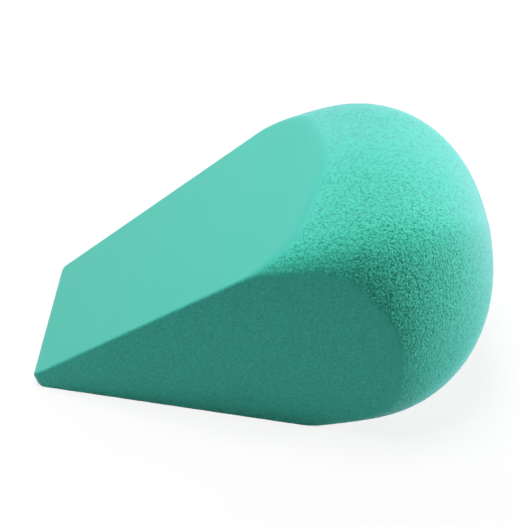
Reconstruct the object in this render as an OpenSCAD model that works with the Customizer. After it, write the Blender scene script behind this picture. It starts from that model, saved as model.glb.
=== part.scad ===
// Makeup sponge: one block of soft foam. It is a rounded, slightly flattened bar with a
// domed end. Four flat cuts, two broad and two at the sides, narrow it to a straight front
// edge. The sponge lies on its lower broad cut: x runs from the front edge to the dome,
// y across and z up, and the origin is under the middle of the sponge. Millimetres.

/* [Foam bar] */
// Length from the front edge to the end of the dome, along the sponge's own middle line
body_length = 62.6; // [54:0.1:76]
// Width of the bar
bar_width = 41; // [36:0.5:48]
// Thickness of the bar
bar_thickness = 32; // [27:0.5:38]
// Length of the domed end
dome_length = 19; // [12:0.5:26]
// How square the dome's outline is from the side: 2 is an ellipse, more is squarer
dome_power = 2.15; // [1.8:0.05:3]
// How square the bar's section is before its faces are crowned: 2 is an ellipse
section_power = 6; // [2:0.5:8]
// How much the bar's four faces bulge between its corners, as a share of its size
face_crown = 0.03; // [0:0.01:0.04]
// How much smaller the bar is at the front edge than where the dome begins, as a share
front_narrowing = 0.3; // [0:0.05:0.35]

/* [Flat cuts] */
// Distance between the two broad cuts where the dome begins
broad_spread = 31.1; // [25:0.1:37]
// Distance between the two side cuts where the dome begins
side_spread = 37.3; // [31:0.1:45]
// Width of the front edge, between the side cuts
edge_width = 24; // [15:0.1:29]
// Radius of the front edge, seen from the side
edge_radius = 1.2; // [0.4:0.1:2]
// Radius of the front edge's two ends, seen from above
corner_radius = 1.5; // [0.5:0.1:4]

/* [Hidden] */
foam_colour = "#47c2ae";

// Steps round the bar's section, along it in front of the dome, from the dome's rim to its
// tip, and along a small arc
section_steps = 64;
front_steps = 5;
dome_steps = 14;
arc_steps = 8;

// How far a cutting outline runs past the foam
overrun = 4;

// Length of the wedge between the front edge and the place where the dome begins
wedge_length = body_length - dome_length;
start_x = -wedge_length - overrun;

// Middle of the edge's rounding, and the angle that each broad cut makes with the middle
// line: the cut runs through broad_spread / 2 at x = 0 and touches the rounding
edge_centre = edge_radius - wedge_length;
broad_reach = norm([edge_centre, broad_spread / 2]);
broad_angle = atan(broad_spread / 2 / -edge_centre) - asin(edge_radius / broad_reach);

// Angle that each side cut makes with the middle line
side_angle = atan((side_spread - edge_width) / 2 / wedge_length);

// Ends of the sponge and height of its middle line where the dome begins, when it lies
// on its lower broad cut. The dome reaches furthest where its outline is upright, which
// its own power and reach_power give together.
front_x = edge_centre * cos(broad_angle) - edge_radius;
reach_power = dome_power / (dome_power - 1);
dome_reach = pow(dome_length * cos(broad_angle), reach_power);
side_reach = pow(bar_thickness / 2 * sin(broad_angle), reach_power);
dome_x = pow(dome_reach + side_reach, 1 / reach_power);
middle_z = broad_spread / 2 * cos(broad_angle);

// The sponge: what the four cuts leave of the bar, laid on its lower broad cut
module foam_body() {
    color(foam_colour)
        translate([-(front_x + dome_x) / 2, 0, middle_z])
            rotate([0, -broad_angle, 0])
                intersection() {
                    bar();
                    between_broad_cuts();
                    between_side_cuts();
                }
}

// The rounded bar along x. Its dome begins at x = 0, and it runs past the front edge.
module bar() {
    rings = concat(
        [for (k = [0:front_steps - 1]) front_ring(k)],
        [for (k = [0:dome_steps - 1]) dome_ring(k)]
    );
    tips = [[start_x, 0, 0], [dome_length, 0, 0]];
    last = len(rings) - 1;
    start_tip = len(rings) * section_steps;
    dome_tip = start_tip + 1;
    polyhedron(
        points = concat([for (ring = rings) each ring], tips),
        faces = concat(
            [for (i = [0:section_steps - 1]) [start_tip, spot(0, i), spot(0, i + 1)]],
            [for (k = [0:last - 1], i = [0:section_steps - 1]) each band_faces(k, i)],
            [for (i = [0:section_steps - 1]) [dome_tip, spot(last, i + 1), spot(last, i)]]
        )
    );
}

// Number of the point at step i of ring k
function spot(k, i) = k * section_steps + i % section_steps;

// The two triangles between rings k and k + 1 at step i
function band_faces(k, i) = [
    [spot(k, i), spot(k + 1, i), spot(k, i + 1)],
    [spot(k, i + 1), spot(k + 1, i), spot(k + 1, i + 1)]
];

// Ring k of the bar in front of the dome, where the bar narrows slowly at first. The rings
// lie closer together near the dome.
function front_ring(k) =
    let (x = start_x * pow(1 - k / front_steps, 2))
    bar_ring(x, 1 - front_narrowing * pow(x / -wedge_length, 1.5));

// Ring k of the dome, whose outline from the side is a quarter of a superellipse
function dome_ring(k) =
    let (angle = 90 * k / dome_steps)
    bar_ring(dome_length * pow(sin(angle), 2 / dome_power), pow(cos(angle), 2 / dome_power));

// The bar's section at x, shrunk to a share of its full size
function bar_ring(x, share) = [
    for (i = [0:section_steps - 1])
        let (angle = 360 * i / section_steps, radius = share * section_radius(angle))
        [x, radius * cos(angle) * bar_width / 2, radius * sin(angle) * bar_thickness / 2]
];

// Distance from the middle of the section to its outline, for a bar of half-width 1: a
// superellipse whose faces are crowned
function section_radius(angle) =
    let (across = abs(cos(angle)), up = abs(sin(angle)))
    pow(pow(across, section_power) + pow(up, section_power), -1 / section_power)
    * (1 - face_crown) / (1 - face_crown * cos(4 * angle));

// Points of an arc about a centre, from one angle to another
function arc(centre, radius, start, end) = [
    for (i = [0:arc_steps])
        let (angle = start + (end - start) * i / arc_steps)
        centre + radius * [cos(angle), sin(angle)]
];

// The space between the two broad cuts, which meet in the rounded front edge
module between_broad_cuts() {
    end_x = dome_length + overrun;
    end_z = broad_spread / 2 + end_x * tan(broad_angle);
    edge = arc([edge_centre, 0], edge_radius, 90 + broad_angle, 270 - broad_angle);
    rotate([90, 0, 0])
        linear_extrude(bar_width + 2 * overrun, center = true)
            polygon(concat(edge, [[end_x, -end_z], [end_x, end_z]]));
}

// The space between the two side cuts, with the ends of the front edge rounded
module between_side_cuts() {
    end_x = dome_length + overrun;
    end_y = side_spread / 2 + end_x * tan(side_angle);
    corner_x = corner_radius - wedge_length;
    corner_y = edge_width / 2 + corner_radius * (tan(side_angle) - 1 / cos(side_angle));
    left = arc([corner_x, corner_y], corner_radius, 90 + side_angle, 180);
    right = arc([corner_x, -corner_y], corner_radius, 180, 270 - side_angle);
    linear_extrude(bar_thickness + 2 * overrun, center = true)
        polygon(concat(left, right, [[end_x, -end_y], [end_x, end_y]]));
}

foam_body();
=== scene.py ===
# Makeup sponge: its foam, the studio it stands in and the camera.
#
# The foam's shape is worked out in the sponge's own frame, in millimetres: u runs along its
# middle line towards the dome, v across it and w square to both. Its points are rows of a
# numpy array. own_to_row() lays it on its lower broad cut, in the frame of the CAD model.
import math

import bmesh
import bpy
import numpy as np
from mathutils import Matrix, Vector, noise


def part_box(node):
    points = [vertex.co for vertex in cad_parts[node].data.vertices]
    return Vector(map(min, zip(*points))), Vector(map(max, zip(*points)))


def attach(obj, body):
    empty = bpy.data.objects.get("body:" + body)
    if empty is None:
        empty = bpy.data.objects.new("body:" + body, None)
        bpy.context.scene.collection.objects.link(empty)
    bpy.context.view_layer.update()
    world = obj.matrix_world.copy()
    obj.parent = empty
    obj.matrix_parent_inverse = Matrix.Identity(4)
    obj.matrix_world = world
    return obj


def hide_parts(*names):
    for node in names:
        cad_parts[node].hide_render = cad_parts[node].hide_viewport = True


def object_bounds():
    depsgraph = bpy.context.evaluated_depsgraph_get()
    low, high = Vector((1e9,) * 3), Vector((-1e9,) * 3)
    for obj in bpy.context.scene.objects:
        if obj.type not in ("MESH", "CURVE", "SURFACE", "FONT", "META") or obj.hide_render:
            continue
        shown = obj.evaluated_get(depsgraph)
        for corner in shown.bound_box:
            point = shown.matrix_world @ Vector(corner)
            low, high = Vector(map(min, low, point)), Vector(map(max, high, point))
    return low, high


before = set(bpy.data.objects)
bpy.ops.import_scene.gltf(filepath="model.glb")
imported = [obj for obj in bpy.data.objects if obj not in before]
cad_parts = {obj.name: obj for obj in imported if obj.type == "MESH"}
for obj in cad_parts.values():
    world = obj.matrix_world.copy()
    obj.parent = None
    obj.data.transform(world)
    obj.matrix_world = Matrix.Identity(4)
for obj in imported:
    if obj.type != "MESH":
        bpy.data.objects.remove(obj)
cad_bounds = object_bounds()

MM = 0.001

# Sizes of the foam in millimetres, as in the CAD model, but for the bar's width: it is 41
# there, and is fitted to the photograph more closely here. The powers and the shares, which
# are FACE_CROWN and FRONT_NARROWING, have no unit.
BODY_LENGTH = 62.6
BAR_WIDTH = 41.4
BAR_THICKNESS = 32.0
DOME_LENGTH = 19.0
DOME_POWER = 2.15
SECTION_POWER = 6.0
FACE_CROWN = 0.03
FRONT_NARROWING = 0.3
NARROWING_POWER = 1.5
BROAD_SPREAD = 31.1
SIDE_SPREAD = 37.3
EDGE_WIDTH = 24.0
EDGE_RADIUS = 1.2

# Softness of the foam's corners: where two cuts meet, where a cut meets the bulb, and at the
# two ends of the front edge. CUT_SWELL is how far the cuts stand out to make up for it.
CUT_ROUNDING = 0.3
BULB_ROUNDING = 0.25
CORNER_RADIUS = 1.3
CUT_SWELL = 0.107

# Angles of the cuts to the middle line, and the middle of the front edge's rounding
WEDGE_LENGTH = BODY_LENGTH - DOME_LENGTH
EDGE_CENTRE = EDGE_RADIUS - WEDGE_LENGTH
BROAD_ANGLE = (math.atan(BROAD_SPREAD / 2 / -EDGE_CENTRE)
               - math.asin(EDGE_RADIUS / math.hypot(EDGE_CENTRE, BROAD_SPREAD / 2)))
SIDE_ANGLE = math.atan((SIDE_SPREAD - EDGE_WIDTH) / 2 / WEDGE_LENGTH)

# Making of the sponge's mesh: the distance within which the CAD model's points are joined,
# the size of its even faces, the rounds of evening them out, the steps that bring a point to
# the surface, and the distance over which the surface's slope is measured
WELD_DISTANCE = 0.0005
FACE_SIZE = 0.58
RELAX_ROUNDS = 6
SETTLE_STEPS = 6
SLOPE_STEP = 0.001

# The faces are halved in size within FRONT_REACH of the front edge, on ground foam, and within
# the wide reach of a line where two cuts, or a cut and the bulb, meet. They are halved once
# more within the narrow reach, and where the grain is stronger than COARSE_SHARE.
FRONT_REACH = 3.0
WIDE_REACH = {"cuts": 1.2, "bulb": 0.8}
NARROW_REACH = {"cuts": 0.5, "bulb": 0.2}
COARSE_SHARE = 0.70

# Ground surface of the bulb: height and spacing of its grain, and how far the bulb lies below
# a broad or a side cut where the grain starts and where it is at its full height. The grain
# is strongest round one place on the shoulder, and falls to FINE_SHARE between the two
# distances from there. Beside a side cut the grain is lowered by a share of its height, which
# falls to 0 between the two depths of the bulb below that cut. That sinks the surface a little,
# and through the bulb's tones it is painted shade on the bulb beside that cut.
GRAIN_HEIGHT = 0.12
GRAIN_SPACING = 0.22
GRAIN_STARTS_BROAD = (-0.15, 0.35)
GRAIN_STARTS_SIDE = (-0.35, 0.25)
COARSE_PLACE = (6.0, -15.0, 8.0)
COARSE_DISTANCES = (5.0, 17.0)
FINE_SHARE = 0.45
SIDE_SINK_AND_SHADE_DEPTHS = (0.3, 1.8)
SIDE_SINK_AND_SHADE_SHARE = 0.18

# Foam colours: the broad cuts, the ground bulb where its grain is fine and where it is
# coarse, the painted shade of its pits and the painted light of its raised flecks
CUT_COLOUR = (0.060, 0.54, 0.43, 1)
FINE_COLOUR = (0.066, 0.61, 0.48, 1)
COARSE_COLOUR = (0.066, 0.61, 0.455, 1)
PIT_PAINTED_SHADE = (0.026, 0.36, 0.245, 1)
FLECK_PAINTED_LIGHT = (0.083, 0.71, 0.50, 1)

# Painted sheen, which pales the foam's colour where it is seen edge on, as its loose cells do: its
# tint and strength on the bulb and on the cuts, and how closely it keeps to the edge. The
# shader's own sheen takes the same tints.
BULB_SHEEN_TINT = (0.63, 0.78, 1.0, 1)
CUT_SHEEN_TINT = (0.60, 0.80, 0.75, 1)
BULB_PAINTED_SHEEN = 0.44
CUT_PAINTED_SHEEN = 0.28
PAINTED_SHEEN_POWER = 2.2

# Fine cells of the foam, too small for the mesh: their noise, and their depth in millimetres
# on the bulb, on the side cuts and on the broad ones
BULB_CELLS = {"spacing": 0.22, "detail": 0.0, "distortion": 0.8}
CUT_CELLS = {"spacing": 0.26, "detail": 1.0, "distortion": 0.0}
BULB_CELL_DEPTH = 0.15
SIDE_CELL_DEPTH = 0.15
BROAD_CELL_DEPTH = 0.03

# Tones of the bulb, from its pits to its flecks: each a place from 0 to 1 and a colour. Fine
# cells make up CELL_SHARE of what sets the tone, at random, and the grain's relief the rest,
# which paints shade in the pits and light on the raised flecks.
CELL_SHARE = 0.35
BULB_PAINTED_RELIEF_TONES = [(0.36, PIT_PAINTED_SHADE), (0.50, COARSE_COLOUR), (0.64, FLECK_PAINTED_LIGHT)]

# Tones of a side cut's cells: each a place from 0 to 1 and the brightness there, as a share
# of the broad cuts'. Their middle is painted light, which lifts the side cuts' shade above the
# broad cuts; the spread round it is the cells' mottle.
SIDE_PAINTED_LIGHT = 1.08
SIDE_MOTTLE_AND_PAINTED_LIGHT = [(0.30, 0.92), (0.50, SIDE_PAINTED_LIGHT), (0.70, 1.24)]

# Foam's weak gloss, and the wide sheen of its open cells
FOAM_FINISH = {
    "Roughness": 0.9,
    "Specular IOR Level": 0.12,
    "Sheen Weight": 0.1,
    "Sheen Roughness": 0.5,
}

# Camera, as the photograph was taken: azimuth from -Y towards +X, elevation and roll in
# degrees, its distance in millimetres from the point that it aims at, and its lens
VIEW_AZIMUTH = 2.59
VIEW_ELEVATION = 36.54
VIEW_ROLL = 1.03
VIEW_DISTANCE = 200.0
VIEW_AIM = (-0.19, -1.62, 14.48)
VIEW_LENS = 102.65

# Soft lamps: azimuth from +X towards +Y and elevation in degrees, distance and width in
# metres, and brightness on a white sheet that faces the lamp
LAMPS = {
    "overhead": (180, 85, 0.28, 0.14, 0.86),
    "key": (-70, 60, 0.45, 0.20, 0.02),
    "back": (100, 45, 0.40, 0.20, 0.28),
    "low_right": (8, 5, 0.40, 0.10, 0.72),
    "low_left": (160, 25, 0.40, 0.20, 0.14),
}

# Floor: its size in metres, its squares along each side, how much light it throws back, and
# how much of its white the camera sees whatever light reaches it. The rest is lit, and keeps
# the sponge's shadow.
FLOOR_SIZE = 3.0
FLOOR_SQUARES = 8
FLOOR_BOUNCE = 0.8
FLOOR_GLOW = 0.85
WHITE = (1, 1, 1, 1)


def direction(azimuth, elevation):
    """Unit vector at an azimuth, from +X towards +Y, and an elevation, in degrees."""
    turn, rise = math.radians(azimuth), math.radians(elevation)
    level = math.cos(rise)
    return Vector((math.cos(turn) * level, math.sin(turn) * level, math.sin(rise)))


def shade(colour, factor):
    """The colour, that many times as bright."""
    return tuple(channel * factor for channel in colour[:3]) + (1,)


def add_object(name, data):
    piece = bpy.data.objects.new(name, data)
    bpy.context.scene.collection.objects.link(piece)
    return piece


def new_material(name):
    material = bpy.data.materials.new(name)
    material.use_nodes = True
    material.node_tree.nodes.clear()
    return material, material.node_tree


def set_socket(tree, socket, value):
    """Gives the socket a value, or links it where the value is a socket itself."""
    if isinstance(value, bpy.types.NodeSocket):
        tree.links.new(value, socket)
    else:
        socket.default_value = value


def add_node(tree, kind, inputs=None, **settings):
    """A node of that kind. inputs sets its sockets, by name or by number."""
    node = tree.nodes.new(kind)
    for name, value in settings.items():
        setattr(node, name, value)
    for name, value in (inputs or {}).items():
        set_socket(tree, node.inputs[name], value)
    return node


def add_math(tree, operation, first, second):
    """Two numbers, put together by that operation."""
    node = add_node(tree, "ShaderNodeMath", {0: first, 1: second}, operation=operation)
    return node.outputs[0]


def add_range(tree, share, low, high, full=1.0):
    """A number that goes from low to high as the share goes from 0 to full."""
    inputs = {"Value": share, "From Max": full, "To Min": low, "To Max": high}
    return add_node(tree, "ShaderNodeMapRange", inputs).outputs[0]


def add_mix(tree, share, first, second):
    """A blend of two colours."""
    node = add_node(tree, "ShaderNodeMix", {0: share}, data_type="RGBA")
    for name, colour in (("A", first), ("B", second)):
        socket = next(i for i in node.inputs if i.name == name and i.type == "RGBA")
        set_socket(tree, socket, colour)
    return next(o for o in node.outputs if o.type == "RGBA")


def add_ramp(tree, value, stops):
    """Colours between stops, each a place from 0 to 1 and a colour."""
    node = add_node(tree, "ShaderNodeValToRGB", {"Fac": value})
    elements = node.color_ramp.elements
    while len(elements) < len(stops):
        elements.new(position=0.5)
    for element, (place, colour) in zip(elements, stops):
        element.position = place
        element.color = colour
    return node.outputs["Color"]


def add_noise(tree, spacing, detail, distortion):
    """Noise that repeats about every spacing millimetres, from 0 to 1."""
    node = add_node(tree, "ShaderNodeTexNoise", {
        "Vector": add_node(tree, "ShaderNodeTexCoord").outputs["Object"],
        "Scale": 1 / (spacing * MM),
        "Detail": detail,
        "Distortion": distortion,
    })
    return node.outputs["Fac"]


def add_attribute(tree, name):
    """The number that store() keeps under that name."""
    return add_node(tree, "ShaderNodeAttribute", attribute_name=name).outputs["Fac"]


def add_bump(tree, height, depth):
    """A bumpy surface, whose cells are that deep in metres."""
    return add_node(tree, "ShaderNodeBump", {"Height": height, "Distance": depth}).outputs[0]


def add_painted_sheen(tree, colour, tint, strength):
    """The colour with a painted sheen: paler where the surface is seen edge on."""
    facing = add_node(tree, "ShaderNodeLayerWeight").outputs["Facing"]
    edge = add_math(tree, "POWER", facing, PAINTED_SHEEN_POWER)
    return add_mix(tree, add_math(tree, "MULTIPLY", edge, strength), colour, tint)


def add_surface(tree, shader):
    add_node(tree, "ShaderNodeOutputMaterial", {"Surface": shader.outputs[0]})


def seen_directly(tree):
    """1 for what the camera sees, straight, in a mirror or through glass, and 0 otherwise."""
    path = add_node(tree, "ShaderNodeLightPath").outputs
    either = add_math(tree, "MAXIMUM", path["Is Camera Ray"], path["Is Glossy Ray"])
    return add_math(tree, "MAXIMUM", either, path["Is Transmission Ray"])


def set_colours():
    """Shows colours as they are written, without a film look."""
    bpy.context.scene.view_settings.view_transform = "Standard"


def make_camera():
    data = bpy.data.cameras.new("camera")
    data.lens = VIEW_LENS
    data.sensor_fit = "HORIZONTAL"
    camera = add_object("camera", data)
    back = direction(VIEW_AZIMUTH - 90, VIEW_ELEVATION)
    camera.location = (Vector(VIEW_AIM) + VIEW_DISTANCE * back) * MM
    roll = Matrix.Rotation(math.radians(VIEW_ROLL), 3, "Z")
    camera.rotation_euler = (back.to_track_quat("Z", "Y").to_matrix() @ roll).to_euler()
    bpy.context.scene.camera = camera


def make_world():
    """White air where it is seen or mirrored. It sheds no light: the lamps do that."""
    world = bpy.data.worlds.new("studio")
    bpy.context.scene.world = world
    world.use_nodes = True
    tree = world.node_tree
    tree.nodes.clear()
    air = add_node(tree, "ShaderNodeBackground", {"Color": WHITE, "Strength": seen_directly(tree)})
    add_node(tree, "ShaderNodeOutputWorld", {"Surface": air.outputs[0]})


def make_lamps():
    aim = (cad_bounds[0] + cad_bounds[1]) / 2
    for name, (azimuth, elevation, distance, width, brightness) in LAMPS.items():
        data = bpy.data.lights.new(name, "AREA")
        data.shape = "DISK"
        data.size = width
        data.energy = brightness * (math.pi * distance) ** 2
        lamp = add_object(name, data)
        back = direction(azimuth, elevation)
        lamp.location = aim + distance * back
        lamp.rotation_euler = back.to_track_quat("Z", "Y").to_euler()


def floor_material():
    """Paper that throws the lamps' light back, and looks white where it is seen directly."""
    material, tree = new_material("floor_paper")
    direct = seen_directly(tree)
    colour = add_mix(tree, direct, shade(WHITE, FLOOR_BOUNCE), WHITE)
    paper = add_node(tree, "ShaderNodeBsdfDiffuse", {"Color": colour})
    glow = add_node(tree, "ShaderNodeEmission", {"Color": WHITE})
    add_surface(tree, add_node(tree, "ShaderNodeMixShader", {
        0: add_math(tree, "MULTIPLY", direct, FLOOR_GLOW),
        1: paper.outputs[0],
        2: glow.outputs[0],
    }))
    return material


def make_floor():
    bm = bmesh.new()
    bmesh.ops.create_grid(
        bm, x_segments=FLOOR_SQUARES, y_segments=FLOOR_SQUARES, size=FLOOR_SIZE / 2)
    mesh = bpy.data.meshes.new("floor")
    bm.to_mesh(mesh)
    bm.free()
    mesh.materials.append(floor_material())
    floor = add_object("floor", mesh)
    floor.location.z = cad_bounds[0].z


def own_to_row():
    """Matrix from the sponge's own frame to the CAD model's, both in millimetres."""
    low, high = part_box("foam_body")
    front_x = EDGE_CENTRE * math.cos(BROAD_ANGLE) - EDGE_RADIUS
    middle_z = BROAD_SPREAD / 2 * math.cos(BROAD_ANGLE)
    place = (low.x / MM - front_x, (low.y + high.y) / 2 / MM, low.z / MM + middle_z)
    return Matrix.Translation(place) @ Matrix.Rotation(-BROAD_ANGLE, 4, "Y")


def moved(points, matrix):
    rows = np.array(matrix)
    return points @ rows[:3, :3].T + rows[:3, 3]


def bar_depth(points):
    """Height over the bar and its dome, below 0 inside. Close to the surface it is in mm."""
    u = points[:, 0]
    across = np.abs(points[:, 1]) / (BAR_WIDTH / 2)
    up = np.abs(points[:, 2]) / (BAR_THICKNESS / 2)
    crown = (1 - FACE_CROWN * np.cos(4 * np.arctan2(up, across))) / (1 - FACE_CROWN)
    section = crown * (across ** SECTION_POWER + up ** SECTION_POWER) ** (1 / SECTION_POWER)
    domed = (np.maximum(u, 0) / DOME_LENGTH) ** DOME_POWER + section ** DOME_POWER
    narrowing = FRONT_NARROWING * (np.maximum(-u, 0) / WEDGE_LENGTH) ** NARROWING_POWER
    return (domed ** (1 / DOME_POWER) - 1 + narrowing) * BAR_THICKNESS / 2


def broad_depth(points):
    """Height over the two broad cuts and the rounded front edge where they meet."""
    u, w = points[:, 0] - EDGE_CENTRE, np.abs(points[:, 2])
    along = u * math.cos(BROAD_ANGLE) + w * math.sin(BROAD_ANGLE)
    over_cut = w * math.cos(BROAD_ANGLE) - u * math.sin(BROAD_ANGLE)
    return np.where(along > 0, over_cut, np.hypot(u, w)) - EDGE_RADIUS


def side_depth(points):
    """Height over the two side cuts."""
    u, v = points[:, 0], np.abs(points[:, 1])
    return (v - SIDE_SPREAD / 2) * math.cos(SIDE_ANGLE) - u * math.sin(SIDE_ANGLE)


def end_depth(points):
    """Height over the front edge's furthest line, along the sponge."""
    return -points[:, 0] - WEDGE_LENGTH


def rounded_meet(first, second, rounding):
    """Height over both of two surfaces, whose meeting line is rounded off."""
    inside = np.minimum(np.maximum(first, second), -rounding)
    return inside + np.hypot(np.maximum(first + rounding, 0), np.maximum(second + rounding, 0))


def cut_depth(points):
    """Height over all the cuts, whose meeting lines and corners are rounded off."""
    broad = broad_depth(points) - CUT_SWELL
    side = side_depth(points) - CUT_SWELL
    end = end_depth(points) - CUT_SWELL
    corner = rounded_meet(end, side, CORNER_RADIUS)
    return np.maximum(rounded_meet(broad, side, CUT_ROUNDING), corner)


def foam_depth(points):
    """Height over the sponge, below 0 inside."""
    return rounded_meet(cut_depth(points), bar_depth(points), BULB_ROUNDING)


def slopes(points):
    """Gradient of foam_depth at each point."""
    columns = []
    for step in np.eye(3) * SLOPE_STEP:
        rise = foam_depth(points + step) - foam_depth(points - step)
        columns.append(rise / (2 * SLOPE_STEP))
    return np.stack(columns, 1)


def settled(points):
    """The points, moved onto the foam's surface."""
    for _ in range(SETTLE_STEPS):
        slope = slopes(points)
        points = points - slope * (foam_depth(points) / (slope ** 2).sum(1))[:, None]
    return points


def ground_share(points):
    """0 on the cut faces, rising smoothly to 1 on the ground bulb, away from them."""
    bar = bar_depth(points)
    beside_broad = np.interp(bar - broad_depth(points), GRAIN_STARTS_BROAD, (0, 1))
    beside_side = np.interp(bar - side_depth(points), GRAIN_STARTS_SIDE, (0, 1))
    share = np.minimum(beside_broad, beside_side)
    return share * share * (3 - 2 * share)


def grain_share(points):
    """How strong the grain is: 0 on the cut faces, 1 where the ground foam is coarsest."""
    away = np.linalg.norm(points - COARSE_PLACE, axis=1)
    return ground_share(points) * np.interp(away, COARSE_DISTANCES, (1, FINE_SHARE))


def side_share(points):
    """1 on the side cuts and 0 on the broad ones, which were cut more cleanly. The side cuts'
    colour is lifted with painted light where this is 1.
    """
    return (side_depth(points) > broad_depth(points)).astype(float)


def near_lines(points, reach):
    """Points within reach of a line where two cuts, or a cut and the bulb, meet."""
    broad, side = broad_depth(points), side_depth(points)
    beside_cuts = np.minimum(broad, side) > -reach["cuts"]
    beside_bulb = np.minimum(np.maximum(broad, side), bar_depth(points)) > -reach["bulb"]
    return beside_cuts | beside_bulb


def grain_relief(points):
    """Pits and flecks of the grain at each point, from about -1 to 1, lowered beside a side cut.
    Through the bulb's tones that lowering is painted shade there.
    """
    relief = np.array([noise.noise(Vector(place)) for place in points / GRAIN_SPACING])
    # lowered beside a side cut: a slight sink, and painted shade through the bulb's tones
    sink_and_shade = np.interp(bar_depth(points) - side_depth(points), SIDE_SINK_AND_SHADE_DEPTHS, (SIDE_SINK_AND_SHADE_SHARE, 0))
    return relief - sink_and_shade


def coordinates(mesh):
    values = np.zeros(len(mesh.vertices) * 3)
    mesh.vertices.foreach_get("co", values)
    return values.reshape(-1, 3)


def set_coordinates(mesh, points):
    mesh.vertices.foreach_set("co", points.ravel())
    mesh.update()


def edge_ends(mesh):
    ends = np.zeros(len(mesh.edges) * 2, dtype=np.int32)
    mesh.edges.foreach_get("vertices", ends)
    return ends.reshape(-1, 2)


def remade_solid():
    """A mesh with even, square faces over the CAD solid, in millimetres."""
    bm = bmesh.new()
    bm.from_mesh(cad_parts["foam_body"].data)
    bmesh.ops.scale(bm, vec=(1 / MM,) * 3, verts=bm.verts)
    bmesh.ops.remove_doubles(bm, verts=bm.verts, dist=WELD_DISTANCE)
    mesh = bpy.data.meshes.new("remade")
    bm.to_mesh(mesh)
    bm.free()
    blank = add_object("remade", mesh)
    remesh = blank.modifiers.new("even_faces", "REMESH")
    remesh.mode = "VOXEL"
    remesh.voxel_size = FACE_SIZE
    remade = blank.evaluated_get(bpy.context.evaluated_depsgraph_get())
    result = bpy.data.meshes.new_from_object(remade)
    bpy.data.objects.remove(blank)
    return result


def relaxed(points, edges):
    """The points, more evenly spaced: in each round every point goes half of the way to the
    middle of its neighbours, and back onto the surface."""
    for _ in range(RELAX_ROUNDS):
        total, count = np.zeros_like(points), np.zeros(len(points))
        for starts, ends in (edges.T, edges.T[::-1]):
            np.add.at(total, starts, points[ends])
            np.add.at(count, starts, 1)
        points = settled(points + (total / count[:, None] - points) / 2)
    return points


def refine(mesh, fine):
    """Splits each face in four where its corners are marked as fine."""
    bm = bmesh.new()
    bm.from_mesh(mesh)
    chosen = [e for e in bm.edges if fine[e.verts[0].index] and fine[e.verts[1].index]]
    bmesh.ops.subdivide_edges(bm, edges=chosen, cuts=1, use_grid_fill=True)
    bm.to_mesh(mesh)
    bm.free()


def refined(mesh, fine):
    """The mesh's points on the surface, after its fine faces are split in four."""
    refine(mesh, fine)
    points = settled(coordinates(mesh))
    set_coordinates(mesh, points)
    return points


def foam_mesh(to_row):
    """The smooth foam's mesh in its own frame, and its points."""
    mesh = remade_solid()
    points = settled(moved(coordinates(mesh), to_row.inverted()))
    points = relaxed(points, edge_ends(mesh))
    set_coordinates(mesh, points)
    at_front = points[:, 0] < FRONT_REACH - WEDGE_LENGTH
    fine = (ground_share(points) > 0) | near_lines(points, WIDE_REACH) | at_front
    points = refined(mesh, fine)
    finest = (grain_share(points) > COARSE_SHARE) | near_lines(points, NARROW_REACH)
    points = refined(mesh, finest)
    return mesh, points


def store(mesh, name, values):
    """Keeps a number for each of the mesh's points, which its materials read."""
    mesh.attributes.new(name, "FLOAT", "POINT").data.foreach_set("value", values)


def give_materials(mesh, grain):
    """The ground material where all of a face's corners have grain, the cut one elsewhere."""
    mesh.materials.clear()
    mesh.materials.append(cut_material())
    mesh.materials.append(ground_material())
    for face in mesh.polygons:
        face.material_index = int(min(grain[i] for i in face.vertices) > 0)


def rough(mesh, points):
    """The points with the bulb's grain. The mesh gets what its materials read of it."""
    grain, relief = grain_share(points), grain_relief(points)
    store(mesh, "grain", grain)
    store(mesh, "relief", (relief + 1) / 2)
    store(mesh, "side", side_share(points))
    give_materials(mesh, grain)
    normals = slopes(points)
    normals /= np.linalg.norm(normals, axis=1)[:, None]
    return points + normals * (GRAIN_HEIGHT * relief * grain)[:, None]


def make_sponge():
    to_row = own_to_row()
    mesh, points = foam_mesh(to_row)
    points = rough(mesh, points)
    set_coordinates(mesh, moved(points, to_row) * MM)
    mesh.shade_smooth()
    sponge = add_object("foam_sponge", mesh)
    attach(sponge, "root")
    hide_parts("foam_body")


def add_foam(tree, colour, tint, painted_sheen, bump):
    """Foam of that colour, under a painted sheen and the shader's own sheen, both of that tint."""
    add_surface(tree, add_node(tree, "ShaderNodeBsdfPrincipled", {
        "Base Color": add_painted_sheen(tree, colour, tint, painted_sheen),
        "Sheen Tint": tint,
        "Normal": bump,
        **FOAM_FINISH,
    }))


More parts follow.
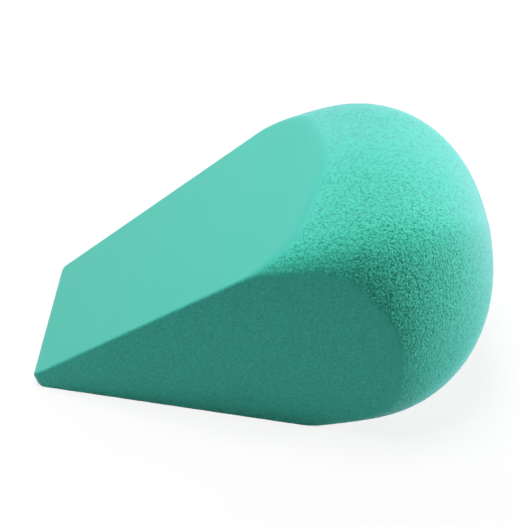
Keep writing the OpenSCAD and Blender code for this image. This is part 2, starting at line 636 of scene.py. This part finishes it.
def ground_material():
    """The ground bulb: painted shade in its pits and painted light on its raised flecks, which
    fade into the cuts' colours.
    """
    material, tree = new_material("foam_ground")
    cells = add_noise(tree, **BULB_CELLS)
    grain = add_attribute(tree, "grain")
    relief = add_attribute(tree, "relief")
    # tone of the relief, whose pits get painted shade and raised flecks painted light, and of fine
    # cells at random
    relief_and_cell_tone = add_node(tree, "ShaderNodeMix", {0: CELL_SHARE, 2: relief, 3: cells}).outputs[0]
    # the cuts' colour where the bulb fades into them, the side cuts' with their painted light
    side_colour_with_painted_light = shade(CUT_COLOUR, SIDE_PAINTED_LIGHT)
    cut = add_mix(tree, add_attribute(tree, "side"), CUT_COLOUR, side_colour_with_painted_light)
    ground = add_range(tree, grain, 0, 1, full=FINE_SHARE)
    plain = add_mix(tree, ground, cut, FINE_COLOUR)
    colour = add_mix(tree, grain, plain, add_ramp(tree, relief_and_cell_tone, BULB_PAINTED_RELIEF_TONES))
    # painted sheen, from the cuts' strength to the bulb's
    painted_sheen = add_range(tree, ground, CUT_PAINTED_SHEEN, BULB_PAINTED_SHEEN)
    bump = add_bump(tree, add_math(tree, "MULTIPLY", cells, grain), BULB_CELL_DEPTH * MM)
    add_foam(tree, colour, BULB_SHEEN_TINT, painted_sheen, bump)
    return material


def cut_material():
    """The cut faces: fine even cells, which mottle the side cuts and hardly show elsewhere, and
    painted light that makes the side cuts lighter.
    """
    material, tree = new_material("foam_cut")
    cells = add_noise(tree, **CUT_CELLS)
    side = add_attribute(tree, "side")
    tones = [(place, shade(CUT_COLOUR, brightness)) for place, brightness in SIDE_MOTTLE_AND_PAINTED_LIGHT]
    colour = add_mix(tree, side, CUT_COLOUR, add_ramp(tree, cells, tones))
    depth = add_range(tree, side, BROAD_CELL_DEPTH * MM, SIDE_CELL_DEPTH * MM)
    # painted sheen at the cuts' strength
    add_foam(tree, colour, CUT_SHEEN_TINT, CUT_PAINTED_SHEEN, add_bump(tree, cells, depth))
    return material


make_camera()
set_colours()
make_world()
make_lamps()
make_floor()
make_sponge()
